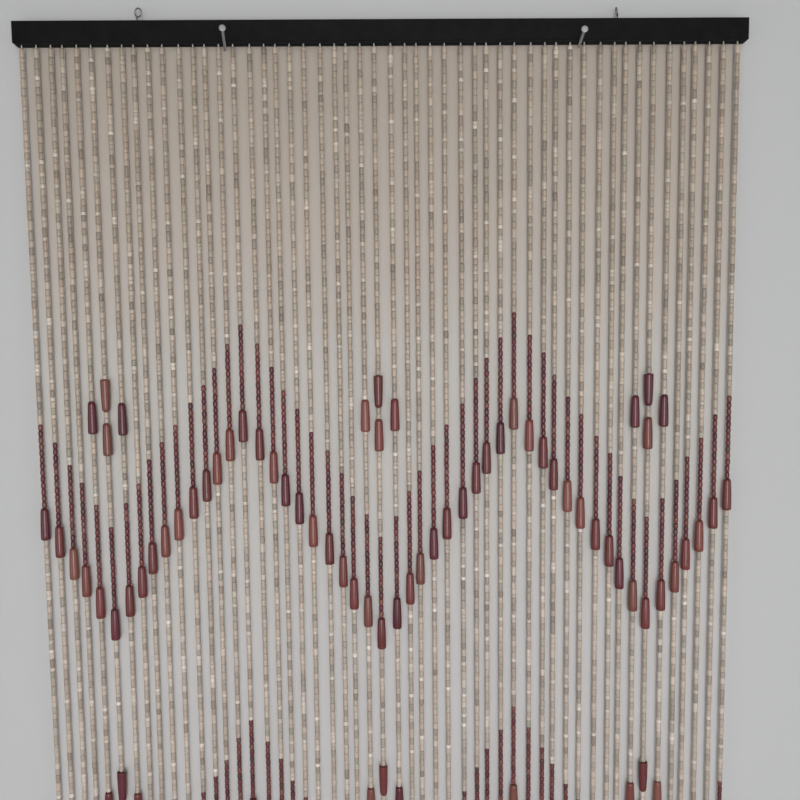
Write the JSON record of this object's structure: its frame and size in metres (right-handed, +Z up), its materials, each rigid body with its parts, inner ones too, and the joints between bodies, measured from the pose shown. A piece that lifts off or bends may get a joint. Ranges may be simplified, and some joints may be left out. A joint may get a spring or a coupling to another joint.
{
  "type": "bead curtain with hanging rail",
  "caption": "Wooden bead curtain of straight strands with a zigzag and diamond pattern, hung from a painted wooden rail on nails.",
  "frame": {"origin": "centre of the rail's back face, on the wall plane", "axes": "+Z up along the strands, +Y into the wall, +X to the right of someone who faces the curtain"},
  "size_m": [0.9, 0.0568, 1.9931],
  "materials": {
    "rail_paint": "black satin paint on wood",
    "bead_wood": "clear lacquered natural wood tube beads",
    "red_lacquer": "wine red lacquered wood beads",
    "thread": "twisted off-white thread",
    "dull_steel": "dull bent wire",
    "nail_steel": "plain round nail"
  },
  "bodies": {
    "root": {"rail": "rail_paint", "strands": "bead_wood", "screw_eye_left": "dull_steel", "screw_eye_right": "dull_steel", "nail_left": "nail_steel", "nail_right": "nail_steel"}
  },
  "joints": []
}
